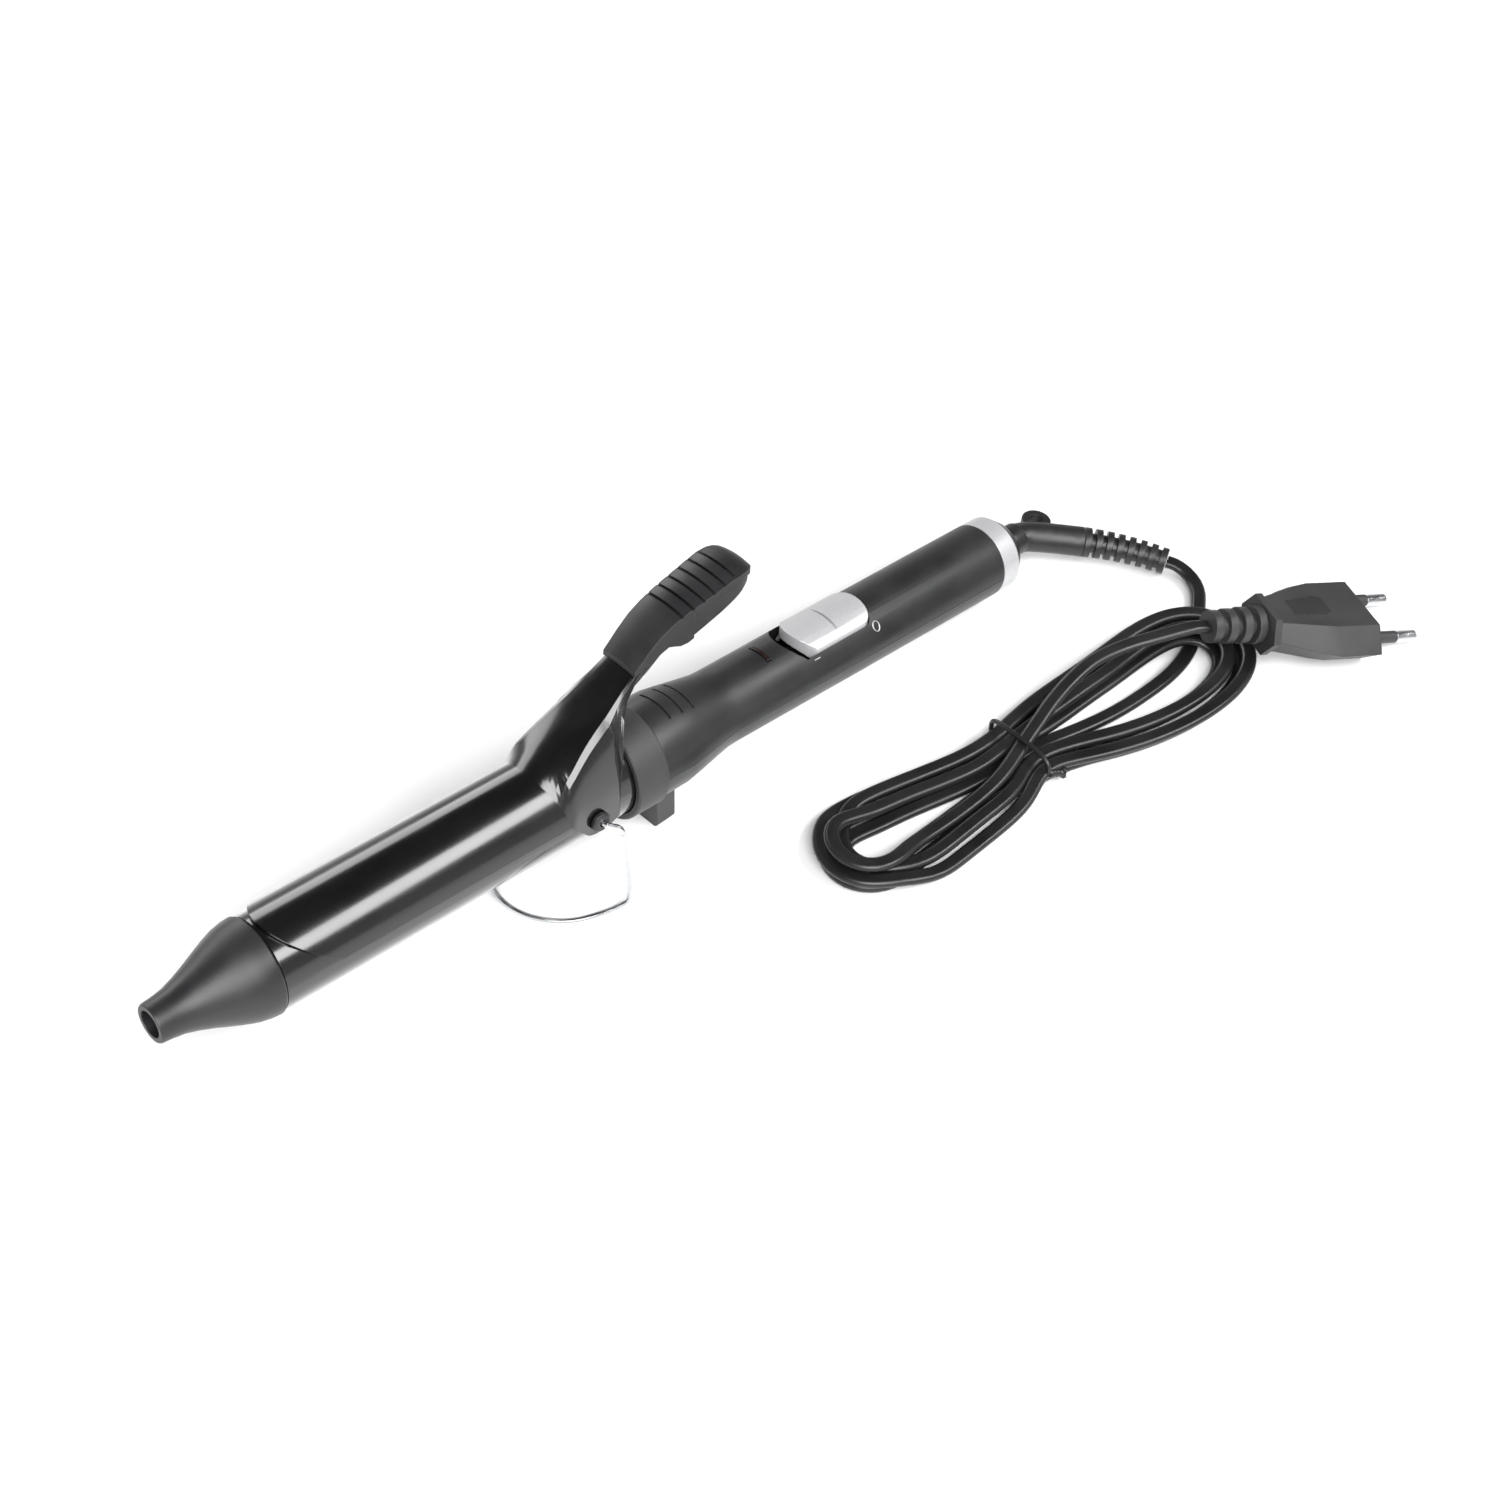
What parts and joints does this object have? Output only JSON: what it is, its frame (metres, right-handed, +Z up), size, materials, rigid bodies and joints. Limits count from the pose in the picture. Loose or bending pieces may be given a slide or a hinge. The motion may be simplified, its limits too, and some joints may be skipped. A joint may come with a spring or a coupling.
{
  "type": "curling iron",
  "caption": "Hair curling iron with a spring-loaded clip, wire stand, slide switch, swivelling cord exit and a hanked mains lead with a flat two-pin plug.",
  "frame": {"origin": "centre of the heel's flat underside, on the table", "axes": "+X from the cool tip towards the cord, level with the table; +Y to the side the elbow bends away from; +Z up"},
  "size_m": [0.4058, 0.1409, 0.0807],
  "materials": {
    "gloss_black": "black ceramic-look coating on metal, polished",
    "satin_black": "satin moulded",
    "collar_grey": "matt heat-resistant moulding",
    "silver": "silver-grey lacquer",
    "steel": "bright nickel-plated wire and screws",
    "aluminium": "as extruded",
    "ceramic": "unglazed ceramic and mica",
    "brass": "plain",
    "cord_black": "matt flexible sheath",
    "plug_grey": "matt moulded",
    "lens": "smoked, unlit"
  },
  "bodies": {
    "handle": {"barrel_tube": "gloss_black", "cool_tip": "satin_black", "handle_upper": "satin_black", "handle_lower": "satin_black", "end_cap": "satin_black", "pivot_rivet_left": "satin_black", "pivot_rivet_right": "satin_black", "switch_body": "satin_black", "collar": "collar_grey", "end_ring": "silver", "tip_screw": "steel", "handle_screw_front": "steel", "handle_screw_rear": "steel", "clip_spring": "steel", "plug_pin_left": "steel", "plug_pin_right": "steel", "heat_spreader_upper": "aluminium", "heat_spreader_lower": "aluminium", "front_disc": "ceramic", "heater_cell": "ceramic", "thermal_fuse": "ceramic", "barrel_bush": "ceramic", "contact_carrier": "ceramic", "heater_wire_live": "ceramic", "heater_wire_neutral": "ceramic", "brush_live": "brass", "brush_neutral": "brass", "cord_lead": "cord_black", "cord_hank": "cord_black", "cord_tail": "cord_black", "twist_tie": "cord_black", "supply_wire_live": "cord_black", "supply_wire_neutral": "cord_black", "plug_relief": "plug_grey", "plug_body": "plug_grey", "pin_sleeve_left": "plug_grey", "pin_sleeve_right": "plug_grey", "indicator_lens": "lens", "indicator_lamp": "lens"},
    "clip": {"clip_shell": "gloss_black", "thumb_cover": "satin_black"},
    "stand": {"stand_wire": "steel"},
    "slider": {"switch_slider": "silver", "switch_knob": "satin_black"},
    "swivel": {"swivel_elbow": "satin_black", "strain_relief": "satin_black", "contact_ring_live": "brass", "contact_ring_neutral": "brass"}
  },
  "joints": [
    {"name": "clip_hinge", "type": "hinge", "parent": "handle", "child": "clip", "pos_m": [-0.03129, 0, 0.02972], "axis": [0, 1, 0], "range_deg": [0, 28], "stiffness_Nm_per_rad": 0.25, "springref_deg": -28.65, "deforming": ["clip_spring"]},
    {"name": "stand_hinge", "type": "hinge", "parent": "handle", "child": "stand", "pos_m": [-0.03129, 0, 0.02972], "axis": [0, 1, 0], "range_deg": [-78, 26]},
    {"name": "switch_slide", "type": "slide", "parent": "handle", "child": "slider", "axis": [-0.9955, 0, 0.0946], "range_m": [0, 0.0043]},
    {"name": "cord_swivel", "type": "hinge", "parent": "handle", "child": "swivel", "pos_m": [0.15129, 0, 0.01237], "axis": [0.9955, 0, -0.0946], "continuous": true}
  ]
}
